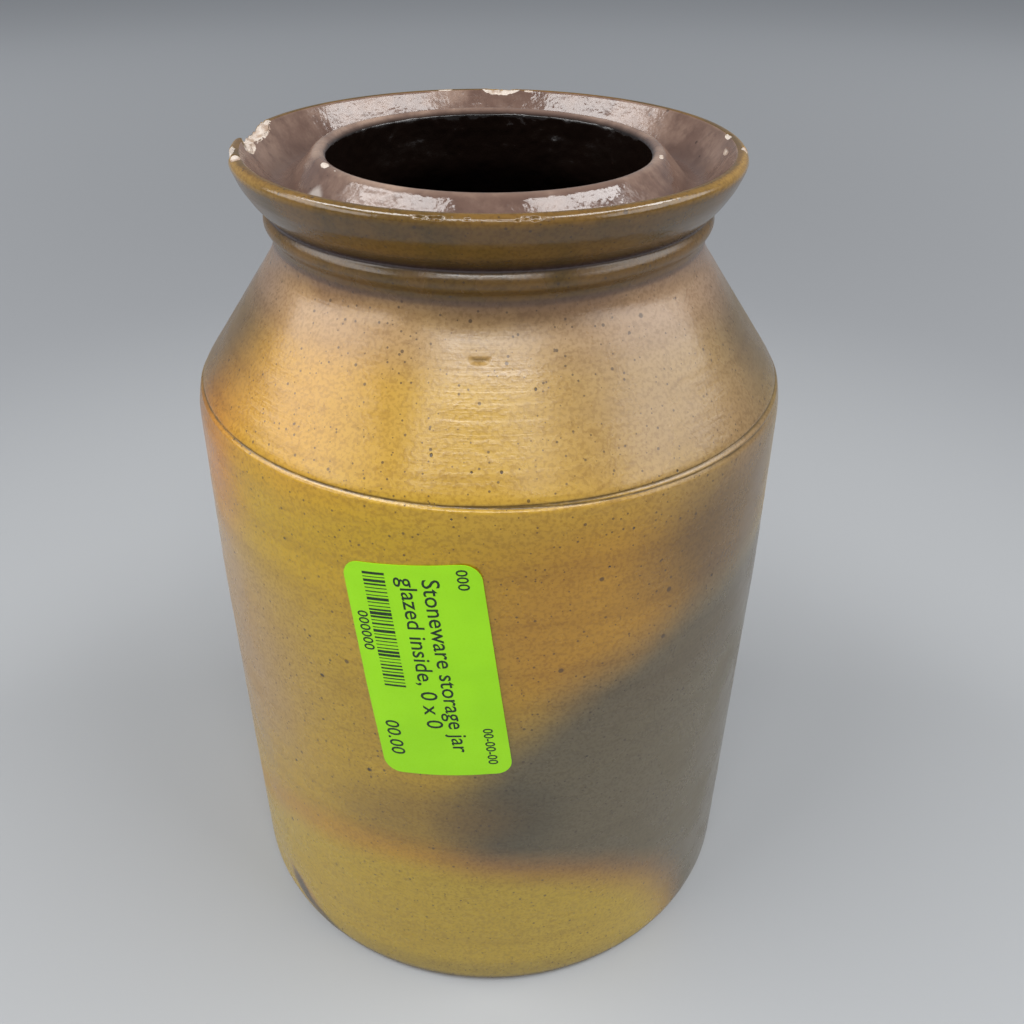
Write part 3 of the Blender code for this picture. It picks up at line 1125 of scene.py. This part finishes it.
def makePaper(wall, material):
    long, wide, corner = label["long"], label["wide"], label["corner"]
    turns = [math.radians(90 * step / 8) for step in range(9)]
    ends = [corner * (1 - math.cos(turn)) for turn in turns]
    middle = [corner + (long - 2 * corner) * step / 44 for step in range(1, 44)]
    rows = ends + middle + [long - end for end in reversed(ends)]
    bm = bmesh.new()
    lattice = []
    for x in rows:
        near = max(0.0, corner - min(x, long - x))
        half = wide / 2 - corner + math.sqrt(corner ** 2 - near ** 2)
        lattice.append([bm.verts.new(onLabel(x, wide / 2 + half * (2 * i / 24 - 1), label["gap"], wall))
                        for i in range(25)])
    for low, high in zip(lattice, lattice[1:]):
        for i in range(24):
            bm.faces.new((low[i], low[i + 1], high[i + 1], high[i]))
    bmesh.ops.recalc_face_normals(bm, faces=bm.faces)
    bm.normal_update()
    outward = sum(face.normal.dot(Vector((face.calc_center_median().x, face.calc_center_median().y, 0.0)))
                  for face in bm.faces)
    if outward < 0:
        bmesh.ops.reverse_faces(bm, faces=bm.faces)
    bmesh.ops.solidify(bm, geom=bm.faces[:], thickness=-label["paper"] * mm)
    bmesh.ops.recalc_face_normals(bm, faces=bm.faces)
    mesh = meshFrom("label", bm)
    mesh.shade_smooth()
    mesh.set_sharp_from_angle(angle=math.radians(50))
    mesh.materials.append(material)
    return mesh


def barTree():
    tree, entry, result = newGroup("printedBars", [
        ("Geometry", "Geometry", None),
        ("Count", "Int", 40),
        ("Length", "Float", 0.028),
        ("Height", "Float", 0.004),
        ("Depth", "Float", 0.0001),
        ("Seed", "Int", 0),
        ("Finish", "Material", None),
    ], [("Geometry", "Geometry")], "GeometryNodeTree")
    pitch = calc(tree, "DIVIDE", entry["Length"], entry["Count"])
    row = addNode(tree, "GeometryNodeMeshLine", {"Count": entry["Count"], "Offset": joinXyz(tree, pitch)})
    cube = addNode(tree, "GeometryNodeMeshCube", {
        "Size": joinXyz(tree, pitch, entry["Height"], entry["Depth"]), "Vertices Y": 3})
    luck = addNode(tree, "FunctionNodeRandomValue", {"Seed": entry["Seed"]}, data_type="FLOAT")
    chance = calc(tree, "POWER", luck.outputs[1], 2.0)
    width = plus(tree, times(tree, chance, bars["spread"]), bars["narrowest"])
    spread = addNode(tree, "GeometryNodeInstanceOnPoints", {
        "Points": row.outputs[0], "Instance": cube.outputs[0], "Scale": joinXyz(tree, width, 1.0, 1.0)})
    finishTree(tree, spread.outputs[0], entry, result)
    return tree


def textMesh(words, letterHeight, depth):
    # the built-in letters stand lower than the size that they are given, by the letter share
    curve = bpy.data.curves.new("words", "FONT")
    curve.body = words
    curve.size = letterHeight / label["letterShare"] * mm
    curve.extrude = depth * mm
    curve.offset = label["bold"] * mm
    curve.resolution_u = 3
    holder = addObject("wordsSource", curve)
    graph = bpy.context.evaluated_depsgraph_get()
    mesh = bpy.data.meshes.new_from_object(holder.evaluated_get(graph))
    bpy.data.objects.remove(holder)
    return mesh


def makePrint(wall, material):
    depth = 0.05
    barMesh = runNodes("bars", bpy.data.meshes.new("barStart"), barTree(), {
        "Count": bars["count"],
        "Length": bars["length"] * mm,
        "Height": (bars["high"] - bars["low"]) * mm,
        "Depth": 2 * depth * mm,
        "Seed": bars["seed"],
        "Finish": material,
    })
    flat = [(barMesh, bars["start"], (bars["low"] + bars["high"]) / 2)]
    flat += [(textMesh(words, tall, depth), x, y) for words, x, y, tall in printed]
    bm = bmesh.new()
    for mesh, x, y in flat:
        before = len(bm.verts)
        bm.from_mesh(mesh)
        bm.verts.ensure_lookup_table()
        for vert in bm.verts[before:]:
            vert.co.x += x * mm
            vert.co.y += y * mm
    bmesh.ops.remove_doubles(bm, verts=bm.verts, dist=0.000001)
    surface = label["gap"] + label["paper"] + label["ink"]
    for vert in bm.verts:
        place = vert.co / mm
        vert.co = onLabel(place.x, place.y, surface + place.z - depth, wall)
    bmesh.ops.recalc_face_normals(bm, faces=bm.faces)
    mesh = meshFrom("label_print", bm)
    mesh.materials.clear()
    mesh.materials.append(material)
    return mesh


def paperMaterial():
    material, tree, shader, where = newMaterial("fluorescentPaper")
    fibre = grain(tree, where, 2600.0, 4.0, 0.7)
    cloud = grain(tree, where, 90.0, 2.0, 0.5)
    colour = blendColour(tree, ramp(tree, cloud, 0.3, 0.7), label["colour"], label["colourLight"])
    colour = blendColour(tree, ramp(tree, fibre, 0.5, 0.8, 0.0, 0.35), colour, label["colourDark"])
    plug(tree, colour, shader.inputs["Base Color"])
    plug(tree, ramp(tree, fibre, 0.3, 0.7, 0.52, 0.68), shader.inputs["Roughness"])
    plug(tree, colour, shader.inputs["Emission Color"])
    # painted light: the paper glows faintly in its own colour, standing in for its fluorescence
    shader.inputs["Emission Strength"].default_value = label["glow"]
    raiseSurface(tree, shader, times(tree, fibre, 0.012))
    return material


def inkMaterial():
    material, tree, shader, where = newMaterial("thermalInk")
    dots = grain(tree, where, 3200.0, 2.0, 0.5)
    colour = blendColour(tree, ramp(tree, dots, 0.55, 0.75, 0.0, 0.6), label["inkColour"], label["inkThin"])
    plug(tree, colour, shader.inputs["Base Color"])
    plug(tree, ramp(tree, dots, 0.3, 0.7, 0.5, 0.65), shader.inputs["Roughness"])
    return material


wall = wallFinder(clayMesh)
sticker = addObject("label", makePaper(wall, paperMaterial()))
inkPiece = addObject("label_print", makePrint(wall, inkMaterial()))
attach(sticker, "root")
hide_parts("price_label")
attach(inkPiece, "root")
print("label stuck on, print has", len(inkPiece.data.polygons), "faces")
